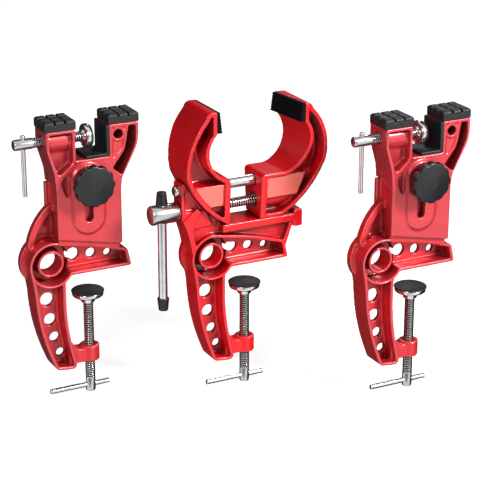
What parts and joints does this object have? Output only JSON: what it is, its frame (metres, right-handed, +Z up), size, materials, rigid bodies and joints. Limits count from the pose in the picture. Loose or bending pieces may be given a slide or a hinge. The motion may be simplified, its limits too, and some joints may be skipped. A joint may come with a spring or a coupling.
{
  "type": "ski tuning vise",
  "caption": "Clamp-on ski tuning vise set: two height-adjustable end vises with padded posts and slot screws, and a centre vise with wide C-shaped jaws.",
  "frame": {"origin": "axis of the centre vise's bench screw, in the face of its arm that lies on the bench", "axes": "+X the way the jaw and side screws push, +Y along the ski away from the picture, +Z up from the bench"},
  "size_m": [0.4138, 0.1924, 0.2967],
  "materials": {
    "casting": "gloss red paint on a die casting",
    "end_casting": "metallic red paint on a die casting",
    "rubber": "matte black",
    "black_plastic": "satin black",
    "plated": "zinc plated",
    "bright": "bright nickel"
  },
  "bodies": {
    "stands": {"centre_frame": "casting", "centre_fixed_jaw": "casting", "centre_fixed_jaw_pad": "rubber", "centre_guide_rod": "bright", "centre_rod_set_screws": "plated", "left_frame": "end_casting", "left_lock_stud": "plated", "right_frame": "end_casting", "right_lock_stud": "plated"},
    "centre_clamp_pad": {"centre_clamp_cup": "bright", "centre_clamp_rubber": "rubber"},
    "centre_clamp_screw": {"centre_clamp_spindle": "plated"},
    "centre_clamp_handle": {"centre_clamp_bar": "bright"},
    "left_clamp_pad": {"left_clamp_cup": "bright", "left_clamp_rubber": "rubber"},
    "left_clamp_screw": {"left_clamp_spindle": "plated"},
    "left_clamp_handle": {"left_clamp_bar": "bright"},
    "right_clamp_pad": {"right_clamp_cup": "bright", "right_clamp_rubber": "rubber"},
    "right_clamp_screw": {"right_clamp_spindle": "plated"},
    "right_clamp_handle": {"right_clamp_bar": "bright"},
    "left_head_body": {"left_head": "end_casting", "left_outer_rest_pad": "rubber", "left_inner_rest_pad": "rubber", "left_slot_liner": "rubber"},
    "left_side_press": {"left_side_disc": "bright", "left_side_disc_face": "rubber"},
    "left_side_spindle": {"left_side_screw": "plated"},
    "left_side_handle": {"left_side_bar": "bright"},
    "left_knob_seat": {"left_lock_washer": "plated"},
    "left_knob": {"left_lock_knob": "black_plastic", "left_lock_nut": "plated"},
    "right_head_body": {"right_head": "end_casting", "right_outer_rest_pad": "rubber", "right_inner_rest_pad": "rubber", "right_slot_liner": "rubber"},
    "right_side_press": {"right_side_disc": "bright", "right_side_disc_face": "rubber"},
    "right_side_spindle": {"right_side_screw": "plated"},
    "right_side_handle": {"right_side_bar": "bright"},
    "right_knob_seat": {"right_lock_washer": "plated"},
    "right_knob": {"right_lock_knob": "black_plastic", "right_lock_nut": "plated"},
    "centre_moving_jaw": {"centre_sliding_jaw": "casting", "centre_sliding_jaw_pad": "rubber", "centre_jaw_nut": "plated"},
    "centre_screw": {"centre_lead_screw": "plated", "centre_screw_collar": "plated"},
    "centre_handle": {"centre_handle_bar": "bright", "centre_handle_caps": "black_plastic"}
  },
  "joints": [
    {"name": "centre_clamp_travel", "type": "slide", "parent": "stands", "child": "centre_clamp_pad", "axis": [0, 0, 1], "range_m": [-0.042, 0.0195]},
    {"name": "centre_clamp_turn", "type": "hinge", "parent": "centre_clamp_pad", "child": "centre_clamp_screw", "pos_m": [0, 0, -0.09], "axis": [0, 0, 1], "range_deg": [-7575, 3525]},
    {"name": "centre_clamp_bar_slide", "type": "slide", "parent": "centre_clamp_screw", "child": "centre_clamp_handle", "axis": [1, 0, 0], "range_m": [-0.012, 0.034]},
    {"name": "left_clamp_travel", "type": "slide", "parent": "stands", "child": "left_clamp_pad", "axis": [0, 0, 1], "range_m": [-0.042, 0.0195]},
    {"name": "left_clamp_turn", "type": "hinge", "parent": "left_clamp_pad", "child": "left_clamp_screw", "pos_m": [-0.149, 0.05, -0.09], "axis": [0, 0, 1], "range_deg": [-7575, 3525]},
    {"name": "left_clamp_bar_slide", "type": "slide", "parent": "left_clamp_screw", "child": "left_clamp_handle", "axis": [1, 0, 0], "range_m": [-0.012, 0.034]},
    {"name": "right_clamp_travel", "type": "slide", "parent": "stands", "child": "right_clamp_pad", "axis": [0, 0, 1], "range_m": [-0.042, 0.0195]},
    {"name": "right_clamp_turn", "type": "hinge", "parent": "right_clamp_pad", "child": "right_clamp_screw", "pos_m": [0.142, -0.086, -0.09], "axis": [0, 0, 1], "range_deg": [-7575, 3525]},
    {"name": "right_clamp_bar_slide", "type": "slide", "parent": "right_clamp_screw", "child": "right_clamp_handle", "axis": [1, 0, 0], "range_m": [-0.012, 0.034]},
    {"name": "left_head_height", "type": "slide", "parent": "stands", "child": "left_head_body", "axis": [0, 0, 1], "range_m": [0, 0.036]},
    {"name": "left_side_travel", "type": "slide", "parent": "left_head_body", "child": "left_side_press", "axis": [1, 0, 0], "range_m": [-0.0112, 0.0078]},
    {"name": "left_side_turn", "type": "hinge", "parent": "left_side_press", "child": "left_side_spindle", "pos_m": [-0.2097, 0.05, 0.1355], "axis": [1, 0, 0], "range_deg": [-2016, 1404]},
    {"name": "left_side_bar_slide", "type": "slide", "parent": "left_side_spindle", "child": "left_side_handle", "axis": [0, 0, 1], "range_m": [0, 0.0442]},
    {"name": "left_knob_travel", "type": "slide", "parent": "stands", "child": "left_knob_seat", "axis": [0, -1, 0], "range_m": [0, 0.005]},
    {"name": "left_knob_turn", "type": "hinge", "parent": "left_knob_seat", "child": "left_knob", "pos_m": [-0.152, 0.02, 0.0955], "axis": [0, -1, 0], "range_deg": [0, 1440]},
    {"name": "right_head_height", "type": "slide", "parent": "stands", "child": "right_head_body", "axis": [0, 0, 1], "range_m": [0, 0.036]},
    {"name": "right_side_travel", "type": "slide", "parent": "right_head_body", "child": "right_side_press", "axis": [1, 0, 0], "range_m": [-0.0112, 0.0078]},
    {"name": "right_side_turn", "type": "hinge", "parent": "right_side_press", "child": "right_side_spindle", "pos_m": [0.0813, -0.086, 0.1355], "axis": [1, 0, 0], "range_deg": [-2016, 1404]},
    {"name": "right_side_bar_slide", "type": "slide", "parent": "right_side_spindle", "child": "right_side_handle", "axis": [0, 0, 1], "range_m": [0, 0.0442]},
    {"name": "right_knob_travel", "type": "slide", "parent": "stands", "child": "right_knob_seat", "axis": [0, -1, 0], "range_m": [0, 0.005]},
    {"name": "right_knob_turn", "type": "hinge", "parent": "right_knob_seat", "child": "right_knob", "pos_m": [0.139, -0.116, 0.0955], "axis": [0, -1, 0], "range_deg": [0, 1440]},
    {"name": "centre_jaw_travel", "type": "slide", "parent": "stands", "child": "centre_moving_jaw", "axis": [1, 0, 0], "range_m": [-0.0333, 0.0065]},
    {"name": "centre_lead_screw_turn", "type": "hinge", "parent": "stands", "child": "centre_screw", "pos_m": [-0.0895, 0, 0.062], "axis": [-1, 0, 0], "range_deg": [-4795.2, 936]},
    {"name": "centre_handle_slide", "type": "slide", "parent": "centre_screw", "child": "centre_handle", "axis": [0, 0, 1], "range_m": [0, 0.077]}
  ],
  "couplings": [
    {"joint": "centre_clamp_turn", "follows": "centre_clamp_travel", "rad_per_m": 3141.6},
    {"joint": "left_clamp_turn", "follows": "left_clamp_travel", "rad_per_m": 3141.6},
    {"joint": "right_clamp_turn", "follows": "right_clamp_travel", "rad_per_m": 3141.6},
    {"joint": "left_side_travel", "follows": "left_side_turn", "m_per_rad": 0.00031831},
    {"joint": "left_knob_travel", "follows": "left_knob_turn", "m_per_rad": 0.00019894},
    {"joint": "right_side_travel", "follows": "right_side_turn", "m_per_rad": 0.00031831},
    {"joint": "right_knob_travel", "follows": "right_knob_turn", "m_per_rad": 0.00019894},
    {"joint": "centre_jaw_travel", "follows": "centre_lead_screw_turn", "m_per_rad": 0.00039789}
  ]
}
